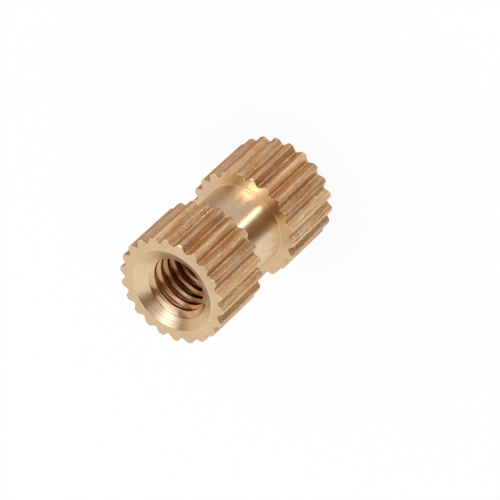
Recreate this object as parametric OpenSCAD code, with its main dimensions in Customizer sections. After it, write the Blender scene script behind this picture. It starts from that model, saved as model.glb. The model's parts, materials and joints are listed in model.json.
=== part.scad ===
// Threaded insert, turned in one piece from brass bar: two straight-knurled bands,
// a neck between them, and a tapped through hole countersunk at both ends.
// It stands on one end face. The axis is +Z, the origin is the centre of that face.

/* [Body] */
// Length over both end faces
body_len = 8.5; // [7:0.1:12]
// Length of the neck between the two knurled bands
neck_len = 2.4; // [1.5:0.1:3.5]
// Wall left between the thread and the outside of the neck
neck_wall = 0.35; // [0.25:0.05:0.6]

/* [Knurl] */
// Diameter over the crests of the teeth
knurl_d = 5; // [4.8:0.1:6]
// Number of teeth round each band
tooth_count = 22; // [16:1:24]
// Depth of the grooves below the crests
groove_depth = 0.25; // [0.15:0.01:0.3]
// Angle between the two flanks of a groove
groove_angle = 90; // [60:2:100]
// Radius of the root of a groove
root_r = 0.1; // [0.04:0.01:0.12]
// Bevel of the teeth at the two end faces
end_bevel = 0.03; // [0.01:0.01:0.1]
// Edge break of the teeth beside the neck
neck_bevel = 0.03; // [0.01:0.01:0.08]

/* [Thread] */
// Nominal diameter of the thread
thread_d = 3; // [2.5:0.1:3.2]
// Pitch of the thread
thread_pitch = 0.5; // [0.35:0.05:0.6]
// Reach of a countersink outside the thread, on the radius
countersink_lip = 0.4; // [0.2:0.05:0.55]
// Included angle of the countersinks
countersink_angle = 110; // [82:2:120]

/* [Hidden] */
// Sides of a full circle where it is shown as a mesh: eight for each tooth
round_sides = 8 * tooth_count;
root_sides = 24;
knurl_r = knurl_d / 2;
// The hole is the tapping drill, the thread's diameter less one pitch
bore_r = (thread_d - thread_pitch) / 2;
neck_r = thread_d / 2 + neck_wall;
countersink_r = thread_d / 2 + countersink_lip;
countersink_depth = (countersink_r - bore_r) / tan(countersink_angle / 2);
band_len = (body_len - neck_len) / 2;
tooth_step = 360 / tooth_count;
// The bar that is knurled is this much larger all round than the finished part
stock = 0.3;

// Half of the turned section, from the lower end face to the middle of the neck, as [radius, height]
lower_half = [
    [bore_r, countersink_depth],
    [countersink_r, 0],
    [knurl_r - end_bevel, 0],
    [knurl_r, end_bevel],
    [knurl_r, band_len - neck_bevel],
    [knurl_r - neck_bevel, band_len],
    [neck_r, band_len]
];

// The same corners seen from the upper end face, in running order
upper_half = [
    for (i = [len(lower_half) - 1 : -1 : 0])
        [lower_half[i][0], body_len - lower_half[i][1]]
];

// Ring with the bore, countersinks, bevels and neck, but still smooth outside
module turned_blank() {
    rotate_extrude($fn = round_sides)
        polygon(concat(lower_half, upper_half));
}

// One groove between two teeth, on +X: straight flanks tangent to a round root
module groove() {
    half_angle = groove_angle / 2;
    root_x = knurl_r - groove_depth + root_r;
    flank_x = root_x - root_r * sin(half_angle);
    flank_y = root_r * cos(half_angle);
    mouth_x = knurl_r + 2 * stock;
    mouth_y = flank_y + (mouth_x - flank_x) * tan(half_angle);
    translate([root_x, 0])
        circle(r = root_r, $fn = root_sides);
    polygon([[flank_x, -flank_y], [mouth_x, -mouth_y], [mouth_x, mouth_y], [flank_x, flank_y]]);
}

// Straight-knurled bar, longer and thicker than the part, with a tooth centred on +X
module knurled_bar() {
    translate([0, 0, -stock])
        linear_extrude(body_len + 2 * stock)
            difference() {
                circle(r = knurl_r + stock, $fn = round_sides);
                for (i = [0 : tooth_count - 1])
                    rotate((i + 0.5) * tooth_step)
                        groove();
            }
}

module insert() {
    color([0.80, 0.62, 0.40])
        intersection() {
            turned_blank();
            knurled_bar();
        }
}

insert();
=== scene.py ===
# Looks of a knurled brass threaded insert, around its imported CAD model.
# The insert stands on its lower end face at z = 0, with its axis on +Z.
# Lengths are in millimetres until a mesh is made, and the named angles are in degrees.
import bmesh
import bpy
import json
import math
import random
from mathutils import Matrix, Vector


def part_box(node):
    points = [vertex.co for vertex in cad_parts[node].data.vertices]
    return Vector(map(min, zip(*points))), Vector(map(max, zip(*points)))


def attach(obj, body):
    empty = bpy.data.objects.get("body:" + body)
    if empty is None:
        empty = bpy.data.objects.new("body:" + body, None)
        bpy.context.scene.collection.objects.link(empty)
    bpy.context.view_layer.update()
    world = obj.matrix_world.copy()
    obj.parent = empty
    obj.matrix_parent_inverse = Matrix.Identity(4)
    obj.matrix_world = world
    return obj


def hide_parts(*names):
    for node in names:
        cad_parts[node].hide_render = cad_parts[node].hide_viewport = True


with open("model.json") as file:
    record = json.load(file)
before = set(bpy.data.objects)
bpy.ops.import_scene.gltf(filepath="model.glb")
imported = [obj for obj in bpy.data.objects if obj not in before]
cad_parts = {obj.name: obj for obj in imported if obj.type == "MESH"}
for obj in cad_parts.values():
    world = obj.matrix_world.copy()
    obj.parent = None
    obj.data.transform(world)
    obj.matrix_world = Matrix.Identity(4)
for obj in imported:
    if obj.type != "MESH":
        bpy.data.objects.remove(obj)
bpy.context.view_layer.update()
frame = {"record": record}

MM = 0.001
PIECE = "insert_brass"
KNURL, TURNED, THREAD = range(3)

# ---- Sizes that the frame holds ----
low_corner, high_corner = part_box("insert")
mounts = {m["name"]: m for m in frame["record"]["mounts"]}
body_len = (high_corner.z - low_corner.z) / MM
knurl_r = high_corner.x / MM
side_reach = high_corner.y / MM
bore_r = mounts["thread"]["dims"]["r_mm"]
countersink_depth = (body_len - mounts["thread"]["dims"]["length_mm"]) / 2

# ---- Sizes of the insert that the frame doesn't hold ----
band_len = 3.05
neck_r = 1.85
tooth_count = 22
groove_depth = 0.25
groove_angle = 90
groove_root_r = 0.1
countersink_angle = 110
thread_pitch = 0.5
thread_r = 1.5
thread_angle = 60

# ---- Finer form, which only this model has ----
crest_round = 0.05
end_bevel = 0.04
band_edge = 0.035
crease_r = 0.02
thread_round = 0.018
# The knurling wheel ran a little unevenly: the teeth opposite the camera lag by this angle
lag = 2.2
# Seed of the small differences between teeth, and how much shallower a groove can be
knurl_seed = 7
depth_spread = 0.02
# How far below the crests the pale skin of the drawn bar reaches; below it the colour is painted darker
# towards the groove bottoms, as painted shade
skin_depth = 0.04
# Where the thread starts round the hole, as a share of one turn
thread_start = -0.07

# ---- Grid of the mesh ----
# From the bottom of a groove to the middle of the next crest
root_steps = 3
flank_steps = 2
rounding_steps = 4
crest_steps = 3
columns_per_tooth = 2 * (root_steps + flank_steps + rounding_steps + crest_steps)
outer_columns = tooth_count * columns_per_tooth
inner_columns = outer_columns // 2
edge_steps = 3
band_steps = 8
# Turns worked out past each end of the thread, before the countersinks clip it
spare_turns = 3
cone_depths = [0, 0.08, 0.16, 0.24]
# Points nearer to each other than this are one, and an edge is sharp above this angle
weld = 1e-4
sharp_above = 25

# ---- Camera, from the photograph's view ----
camera_azimuth = -91.0
camera_elevation = 42.816
camera_distance = 166.522
camera_roll = 133.337
camera_aim = (-0.9867, -0.2301, 3.9831)
camera_lens = 289.62
sensor_width = 36

# ---- Studio ----
card_distance = 120
floor_half = 400
# Share of the floor's white that is its own light, and strength of the backdrop in reflections
floor_glow = 0.85
backdrop_glow = 0.88
# Cards round the insert that only its reflections show, as azimuths counted from the camera's,
# elevations and the colour of their light. Each stands a little nearer than the one before.
card_step = 1
CARDS = {
    "grey_back": ((136, 226), (-8, 60), (0.8, 0.74, 0.7)),
    "low_side": ((8, 80), (-70, 0), (0.62, 0.54, 0.53)),
    "low_back": ((80, 136), (-70, 0), (0.46, 0.35, 0.29)),
    "low_far": ((136, 222), (-70, -8), (0.56, 0.46, 0.38)),
    "side_gap": ((84, 110), (0, 54), (0.34, 0.27, 0.21)),
    "side_soft": ((110, 136), (0, 60), (0.74, 0.62, 0.52)),
    "dark_gap": ((-58, -10), (-80, 80), (0.3, 0.21, 0.14)),
    "dark_core": ((-52, -24), (-80, 80), (0.22, 0.13, 0.08)),
    "dark_top": ((-180, 180), (72, 90), (0.24, 0.17, 0.12)),
    "key_lamp": ((26, 86), (37, 70), (1.25, 1.33, 1.6)),
    "key_core": ((30, 64), (30, 52), (4.0, 4.3, 5.0)),
    "strip_lamp": ((-3, 3), (-62, -24), (4.4, 4.4, 4.3)),
}

cone_slope = 1 / math.tan(math.radians(countersink_angle / 2))
countersink_r = bore_r + countersink_depth / cone_slope


def polar(radius, angle):
    """X and Y of a point, with the angle in radians."""
    return radius * math.cos(angle), radius * math.sin(angle)


def direction(azimuth, elevation):
    """Unit vector, with both angles in degrees and the azimuth counted from +X."""
    a, e = math.radians(azimuth), math.radians(elevation)
    return Vector((math.cos(e) * math.cos(a), math.cos(e) * math.sin(a), math.sin(e)))


# ---- The outside: knurled bands and neck ----
def half_groove(depth, rounding):
    """From the bottom of a groove to the middle of the next crest, as (angle, radius)."""
    lean = math.radians(groove_angle / 2)
    root_x = knurl_r - depth + groove_root_r
    round_reach = knurl_r - rounding
    crest_start = lean - math.asin((root_x * math.sin(lean) - groove_root_r - rounding) / round_reach)
    round_x, round_y = polar(round_reach, crest_start)
    flank_top = round_x + rounding * math.sin(lean), round_y - rounding * math.cos(lean)
    flank_foot = root_x - groove_root_r * math.sin(lean), groove_root_r * math.cos(lean)

    points = []
    for i in range(root_steps):
        turn = math.pi - (math.pi / 2 - lean) * i / root_steps
        points.append((root_x + groove_root_r * math.cos(turn), groove_root_r * math.sin(turn)))
    for i in range(flank_steps):
        points.append(tuple(a + (b - a) * i / flank_steps for a, b in zip(flank_foot, flank_top)))
    turn_start = lean - math.pi / 2
    for i in range(rounding_steps):
        turn = turn_start + (crest_start - turn_start) * i / rounding_steps
        points.append((round_x + rounding * math.cos(turn), round_y + rounding * math.sin(turn)))
    half_step = math.pi / tooth_count
    for i in range(crest_steps + 1):
        points.append(polar(knurl_r, crest_start + (half_step - crest_start) * i / crest_steps))
    return [(math.atan2(y, x), math.hypot(x, y)) for x, y in points]


def knurl_section():
    """Angle and radius of the knurled outline in every column, counter-clockwise."""
    rng = random.Random(knurl_seed)
    section = []
    for groove in range(tooth_count):
        centre = (groove + 0.5) * 2 * math.pi / tooth_count
        depth = groove_depth - depth_spread * rng.random()
        rounding = crest_round * rng.uniform(0.8, 1.4)
        half = half_groove(depth, rounding)
        section += [(centre - angle, radius) for angle, radius in reversed(half[1:])]
        section += [(centre + angle, radius) for angle, radius in half[:-1]]
    section = [(angle - lag_at(angle), radius) for angle, radius in section]
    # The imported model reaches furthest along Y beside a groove, and no tooth here passes that
    return [(angle, min(radius, side_reach / abs(math.sin(angle)))) for angle, radius in section]


def lag_at(angle):
    """How far the teeth lag at this angle, in radians: nothing below the camera, most opposite it."""
    return math.radians(lag) * (1 - math.cos(angle - math.radians(camera_azimuth))) / 2


def rounded_edge(face_z, inward, size):
    """Rows of the edge between an end face of a band and its teeth, starting at the face."""
    rows = []
    for i in range(edge_steps + 1):
        turn = math.pi / 2 * i / edge_steps
        z = face_z + inward * size * (1 - math.cos(turn))
        rows.append((z, 0, 1, knurl_r - size * (1 - math.sin(turn))))
    return rows


def outer_rows():
    """Rings of the outside from the lower face to the upper, as (z, inner radius, share, cap).

    A column's radius is inner + share * (min(knurl radius, cap) - inner).
    """
    rows = rounded_edge(0, 1, end_bevel)
    straight = band_len - band_edge - end_bevel
    rows += [(end_bevel + straight * i / band_steps, 0, 1, knurl_r) for i in range(1, band_steps)]
    rows += reversed(rounded_edge(band_len, -1, band_edge))
    rows += [(band_len, neck_r + crease_r, share, knurl_r - band_edge) for share in (0.66, 0.33)]
    for i in range(edge_steps + 1):
        turn = math.pi / 2 * i / edge_steps
        z = band_len + crease_r * (1 - math.cos(turn))
        rows.append((z, neck_r + crease_r * (1 - math.sin(turn)), 0, knurl_r))
    half_neck = body_len / 2 - band_len
    rows += [(band_len + half_neck * i / 3, neck_r, 0, knurl_r) for i in (1, 2)]
    middle = [(body_len / 2, neck_r, 0, knurl_r)]
    return rows + middle + [(body_len - z, *rest) for z, *rest in reversed(rows)]


# ---- The hole: countersinks and thread ----
def thread_profile():
    """One groove of the thread, as (height from its middle, radius), rising."""
    lean = math.radians(thread_angle / 2)
    flank = (thread_r - bore_r) * math.tan(lean)
    root_half = thread_pitch / 16
    crest = root_half + flank
    cut_z = thread_round * math.sin(lean)
    cut_r = thread_round * math.cos(lean)
    half = [
        (crest + thread_round, bore_r),
        (crest - cut_z, bore_r + cut_r),
        (root_half + cut_z, thread_r - cut_r),
        (root_half - cut_z, thread_r),
    ]
    return [(-z, r) for z, r in half] + [(z, r) for z, r in reversed(half)]


def cone_radius(z):
    """Radius of the nearer countersink at height z."""
    return countersink_r - min(z, body_len - z) / cone_slope


def clamp_to_cones(points):
    """Moves the points of one column that a countersink has cut away to where the thread comes out."""
    clear = [radius - cone_radius(z) for z, radius in points]
    shown = [i for i, gap in enumerate(clear) if gap >= 0]
    first, last = shown[0], shown[-1]

    def between(i, j):
        share = clear[i] / (clear[i] - clear[j])
        return tuple(a + (b - a) * share for a, b in zip(points[i], points[j]))

    below = [between(first, first - 1)] * first
    above = [between(last, last + 1)] * (len(points) - last - 1)
    return below + points[first:last + 1] + above


def bore_column(turn):
    """Heights and radii of the hole's wall at one angle, from the lower face to the upper."""
    wall = []
    for groove in range(-spare_turns, int(body_len / thread_pitch) + spare_turns):
        middle = thread_pitch * (groove + turn + thread_start)
        wall += [(middle + z, radius) for z, radius in thread_profile()]
    lower = [(depth, cone_radius(depth)) for depth in cone_depths]
    upper = [(body_len - z, radius) for z, radius in reversed(lower)]
    return lower + clamp_to_cones(wall) + upper


# ---- The piece ----
def build_mesh():
    """The whole insert as one closed mesh, with a material index for each kind of surface."""
    section = knurl_section()
    vertices = []
    faces = []
    kinds = []

    def add_points(points):
        start = len(vertices)
        vertices.extend(Vector(point) * MM for point in points)
        return range(start, len(vertices))

    def add_face(kind, corners, flip=False):
        faces.append(tuple(reversed(corners)) if flip else tuple(corners))
        kinds.append(kind)

    rows = outer_rows()
    rings = []
    for z, inner, share, cap in rows:
        radii = [inner + share * (min(radius, cap) - inner) for _, radius in section]
        rings.append(add_points((*polar(r, angle), z) for r, (angle, _) in zip(radii, section)))
    for k in range(len(rows) - 1):
        low, high = rings[k], rings[k + 1]
        low_z, high_z = rows[k][0], rows[k + 1][0]
        kind = KNURL if high_z - low_z > 2 * band_edge and rows[k][1] == 0 else TURNED
        for i in range(outer_columns):
            j = (i + 1) % outer_columns
            add_face(kind, (low[i], low[j], high[j], high[i]))

    # The hole's first column is at the angle of the outline's first point
    columns = []
    for i in range(inner_columns + 1):
        angle = section[0][0] + 2 * math.pi * i / inner_columns
        column = bore_column(i / inner_columns)
        columns.append(add_points((*polar(radius, angle), z) for z, radius in column))
    row_count = len(columns[0])
    for left, right in zip(columns, columns[1:]):
        for k in range(row_count - 1):
            on_cone = not len(cone_depths) <= k < row_count - 1 - len(cone_depths)
            add_face(TURNED if on_cone else THREAD, (left[k], left[k + 1], right[k + 1], right[k]))

    # Each flat face joins two columns of the outline to one of the hole
    for outline, k, flip in ((rings[0], 0, True), (rings[-1], -1, False)):
        for i in range(inner_columns):
            a, b, c = (outline[(2 * i + step) % outer_columns] for step in range(3))
            d, e = columns[i][k], columns[i + 1][k]
            for corners in ((a, b, d), (b, e, d), (b, c, e)):
                add_face(TURNED, corners, flip)

    mesh = bpy.data.meshes.new(PIECE)
    mesh.from_pydata(vertices, [], faces)
    mesh.polygons.foreach_set("material_index", kinds)
    return mesh


def weld_mesh(mesh):
    """Joins the points that fall together and drops the faces left with no area."""
    work = bmesh.new()
    work.from_mesh(mesh)
    bmesh.ops.remove_doubles(work, verts=work.verts, dist=weld * MM)
    bmesh.ops.dissolve_degenerate(work, edges=work.edges, dist=weld * MM)
    work.to_mesh(mesh)
    work.free()


def make_insert():
    mesh = build_mesh()
    weld_mesh(mesh)
    mesh.shade_smooth()
    mesh.set_sharp_from_angle(angle=math.radians(sharp_above))
    for material in (knurl_brass(), turned_brass(), thread_brass()):
        mesh.materials.append(material)
    piece = link_object(PIECE, mesh)
    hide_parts("insert")
    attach(piece, "root")


def link_object(name, data):
    made = bpy.data.objects.new(name, data)
    bpy.context.scene.collection.objects.link(made)
    return made


# ---- Materials ----
def add(tree, kind, inputs=None, **settings):
    """A new node. An input is a value, or a socket to link from."""
    node = tree.nodes.new(kind)
    for name, value in settings.items():
        setattr(node, name, value)
    for name, value in (inputs or {}).items():
        if isinstance(value, bpy.types.NodeSocket):
            tree.links.new(value, node.inputs[name])
        else:
            node.inputs[name].default_value = value
    return node


def math_node(tree, operation, a, b):
    return add(tree, "ShaderNodeMath", {0: a, 1: b}, operation=operation).outputs[0]


def ramp(tree, value, *stops):
    """Colour by value: each stop is (position, colour)."""
    node = add(tree, "ShaderNodeValToRGB", {0: value})
    elements = node.color_ramp.elements
    while len(elements) < len(stops):
        elements.new(0.5)
    for element, (position, color) in zip(elements, stops):
        element.position = position
        element.color = (*color, 1)
    return node.outputs[0]


def scale_range(tree, value, low, high, to_low, to_high):
    inputs = {"Value": value, "From Min": low, "From Max": high, "To Min": to_low, "To Max": to_high}
    return add(tree, "ShaderNodeMapRange", inputs).outputs[0]


def position_mm(tree):
    """Position on the piece in millimetres, its radius from the axis and its height."""
    where = add(tree, "ShaderNodeTexCoord").outputs["Object"]
    scaled = add(tree, "ShaderNodeVectorMath", {0: where, "Scale": 1 / MM}, operation="SCALE").outputs[0]
    parts = add(tree, "ShaderNodeSeparateXYZ", {0: scaled}).outputs
    flat = add(tree, "ShaderNodeCombineXYZ", {"X": parts["X"], "Y": parts["Y"]}).outputs[0]
    radius = add(tree, "ShaderNodeVectorMath", {0: flat}, operation="LENGTH").outputs["Value"]
    return scaled, radius, parts["Z"]


def stretched_noise(tree, where, scales, detail=3.0):
    """Noise with a scale of its own along each axis, per millimetre."""
    mapped = add(tree, "ShaderNodeMapping", {"Vector": where, "Scale": scales}).outputs[0]
    inputs = {"Vector": mapped, "Scale": 1.0, "Detail": detail, "Roughness": 0.6}
    return add(tree, "ShaderNodeTexNoise", inputs).outputs["Fac"]


def line_noise(tree, along, scale, detail=2.0):
    """Noise that varies along one coordinate only, as tool marks do."""
    inputs = {"W": along, "Scale": scale, "Detail": detail, "Roughness": 0.7}
    return add(tree, "ShaderNodeTexNoise", inputs, noise_dimensions="1D").outputs["Fac"]


def mixed_tone(tree, *parts):
    """Sum of several values, each taken with its own weight."""
    total = 0.0
    for value, weight in parts:
        inputs = {0: value, 1: weight, 2: total}
        total = add(tree, "ShaderNodeMath", inputs, operation="MULTIPLY_ADD").outputs[0]
    return total


def new_metal(name):
    """A metallic material, its tree and its shader."""
    material = bpy.data.materials.new(name)
    material.use_nodes = True
    shader = material.node_tree.nodes["Principled BSDF"]
    shader.inputs["Metallic"].default_value = 1
    return material, material.node_tree, shader


def bump(tree, shader, height, distance, below=None):
    """Fine relief, laid over another bump where one is given."""
    inputs = {"Height": height, "Distance": distance * MM, "Strength": 1.0}
    if below is not None:
        inputs["Normal"] = below
    normal = add(tree, "ShaderNodeBump", inputs).outputs[0]
    tree.links.new(normal, shader.inputs["Normal"])
    return normal


def smear_along(tree, shader, amount):
    """Rings left by turning: they spread a reflection across themselves."""
    shader.inputs["Anisotropic"].default_value = amount
    shader.inputs["Anisotropic Rotation"].default_value = 0.25
    around = add(tree, "ShaderNodeTangent", direction_type="RADIAL", axis="Z")
    tree.links.new(around.outputs[0], shader.inputs["Tangent"])


def turned_brass():
    """Lathe-turned faces, countersinks and neck: bright, with fine rings left by the tool."""
    material, tree, shader = new_metal("brass_turned")
    smear_along(tree, shader, 0.9)
    where, radius, height = position_mm(tree)
    along = math_node(tree, "ADD", radius, height)
    rings = line_noise(tree, along, 9.0, 4.0)
    hairs = line_noise(tree, along, 40.0, 2.0)
    cloud = stretched_noise(tree, where, (1.1, 1.1, 1.1))
    tone = mixed_tone(tree, (rings, 0.35), (hairs, 0.2), (cloud, 0.45))
    color = ramp(tree, tone, (0.35, (0.8, 0.58, 0.35)), (0.65, (0.91, 0.73, 0.51)))
    tree.links.new(color, shader.inputs["Base Color"])
    tree.links.new(scale_range(tree, cloud, 0.3, 0.7, 0.21, 0.28), shader.inputs["Roughness"])
    below = bump(tree, shader, rings, 0.005)
    bump(tree, shader, hairs, 0.0015, below)
    return material


def knurl_brass():
    """Knurled teeth: pale skin on the crests, grooves painted browner as shade, streaks along the axis,
    and polished specks with a painted glint.
    """
    material, tree, shader = new_metal("brass_knurl")
    where, radius, _ = position_mm(tree)
    streaks = stretched_noise(tree, where, (13.0, 13.0, 0.5), 4.0)
    grain = stretched_noise(tree, where, (15.0, 15.0, 9.0), 3.0)
    cloud = stretched_noise(tree, where, (1.6, 1.6, 0.7))
    specks = stretched_noise(tree, where, (11.0, 11.0, 6.0), 1.0)
    # Painted shade in the grooves: by radius, the colour darkens from the crest skin towards the groove
    # bottoms
    crest = scale_range(tree, radius, knurl_r - groove_depth, knurl_r - skin_depth, -0.05, 0.03)
    tone = mixed_tone(tree, (streaks, 0.42), (grain, 0.3), (cloud, 0.28))
    tone = math_node(tree, "ADD", tone, crest)
    brown, tan, pale = (0.5, 0.24, 0.08), (0.74, 0.46, 0.23), (0.92, 0.7, 0.47)
    skin = ramp(tree, tone, (0.35, brown), (0.48, tan), (0.61, pale))
    # Painted glints: sparse specks get a paler colour as a painted highlight, and a lower roughness as
    # real polish
    glint = scale_range(tree, specks, 0.69, 0.74, 0, 1)
    bright = {0: glint, 6: skin, 7: (1.0, 0.86, 0.66, 1)}
    skin_with_painted_glints = add(tree, "ShaderNodeMix", bright, data_type="RGBA").outputs[2]
    tree.links.new(skin_with_painted_glints, shader.inputs["Base Color"])
    rough = scale_range(tree, grain, 0.35, 0.65, 0.26, 0.48)
    polished = add(tree, "ShaderNodeMix", {0: glint, 2: rough, 3: 0.15}).outputs[0]
    tree.links.new(polished, shader.inputs["Roughness"])
    below = bump(tree, shader, streaks, 0.02)
    bump(tree, shader, grain, 0.014, below)
    return material


def thread_brass():
    """Tapped thread, painted darker and redder away from the ends as shade deep in the hole, with marks
    that run round the hole.
    """
    material, tree, shader = new_metal("brass_thread")
    shader.inputs["Roughness"].default_value = 0.17
    where, _, height = position_mm(tree)
    below_top = math_node(tree, "SUBTRACT", body_len, height)
    depth = math_node(tree, "MINIMUM", height, below_top)
    # Painted shade: the colour darkens and reddens with the distance from the nearer end face
    painted_depth_shade = scale_range(tree, depth, 0.7, 1.7, 0, 0.85)
    marks = line_noise(tree, height, 22.0)
    cloud = stretched_noise(tree, where, (2.0, 2.0, 2.0))
    unshaded_tone = ramp(tree, cloud, (0.3, (0.7, 0.44, 0.23)), (0.7, (0.84, 0.6, 0.37)))
    tone = {0: painted_depth_shade, 6: unshaded_tone, 7: (0.36, 0.15, 0.06, 1)}
    color = add(tree, "ShaderNodeMix", tone, data_type="RGBA").outputs[2]
    tree.links.new(color, shader.inputs["Base Color"])
    bump(tree, shader, marks, 0.003)
    return material


# ---- Camera and studio ----
def make_camera():
    data = bpy.data.cameras.new("camera")
    data.sensor_width = sensor_width
    data.lens = camera_lens
    data.clip_start = camera_distance * MM / 10
    data.clip_end = camera_distance * MM * 20
    camera = link_object("camera", data)
    back = direction(camera_azimuth, camera_elevation)
    level_right = Vector((0, 0, 1)).cross(back).normalized()
    level_up = back.cross(level_right)
    roll = math.radians(camera_roll)
    up = level_up * math.cos(roll) + level_right * math.sin(roll)
    right = level_right * math.cos(roll) - level_up * math.sin(roll)
    turn = Matrix((right, up, back)).transposed().to_4x4()
    camera.matrix_world = Matrix.Translation((Vector(camera_aim) + back * camera_distance) * MM) @ turn
    bpy.context.scene.camera = camera


def emission_material(name, color):
    material = bpy.data.materials.new(name)
    material.use_nodes = True
    tree = material.node_tree
    tree.nodes.clear()
    glow = add(tree, "ShaderNodeEmission", {"Color": (*color, 1)})
    add(tree, "ShaderNodeOutputMaterial", {"Surface": glow.outputs[0]})
    return material


def make_card(name, azimuths, elevations, color):
    """Part of a sphere round the insert, of one even light, which only reflections show."""
    steps = 16
    distance = card_distance - card_step * list(CARDS).index(name)
    centre = Vector((0, 0, body_len / 2))
    points = []
    for i in range(steps + 1):
        for j in range(steps + 1):
            azimuth = camera_azimuth + azimuths[0] + (azimuths[1] - azimuths[0]) * i / steps
            elevation = elevations[0] + (elevations[1] - elevations[0]) * j / steps
            points.append((centre + direction(azimuth, elevation) * distance) * MM)
    corners = [i * (steps + 1) + j for i in range(steps) for j in range(steps)]
    mesh = bpy.data.meshes.new(name)
    mesh.from_pydata(points, [], [(c, c + 1, c + steps + 2, c + steps + 1) for c in corners])
    mesh.materials.append(emission_material(name, color))
    card = link_object(name, mesh)
    card.visible_camera = False
    card.visible_diffuse = False


def make_floor():
    """Pale floor that stays nearly white and takes a faint shadow of the insert."""
    half = floor_half * MM
    mesh = bpy.data.meshes.new("floor")
    corners = [(-half, -half, 0), (half, -half, 0), (half, half, 0), (-half, half, 0)]
    mesh.from_pydata(corners, [], [(0, 1, 2, 3)])
    material = bpy.data.materials.new("floor")
    material.use_nodes = True
    tree = material.node_tree
    tree.nodes.clear()
    paint = add(tree, "ShaderNodeBsdfDiffuse", {"Color": (1, 1, 1, 1)})
    glow = add(tree, "ShaderNodeEmission")
    surface = add(tree, "ShaderNodeMixShader", {0: floor_glow, 1: paint.outputs[0], 2: glow.outputs[0]})
    add(tree, "ShaderNodeOutputMaterial", {"Surface": surface.outputs[0]})
    mesh.materials.append(material)
    floor = link_object("floor", mesh)
    floor.visible_glossy = False


def make_world():
    world = bpy.data.worlds.new("studio")
    world.use_nodes = True
    tree = world.node_tree
    background = tree.nodes["Background"]
    background.inputs["Color"].default_value = (1, 1, 1, 1)
    mirrored = add(tree, "ShaderNodeLightPath").outputs["Is Glossy Ray"]
    tree.links.new(scale_range(tree, mirrored, 0, 1, 1, backdrop_glow), background.inputs["Strength"])
    world.cycles.sampling_method = "NONE"
    bpy.context.scene.world = world


make_insert()
make_camera()
make_floor()
for name, (azimuths, elevations, color) in CARDS.items():
    make_card(name, azimuths, elevations, color)
make_world()
bpy.context.scene.view_settings.view_transform = "Standard"
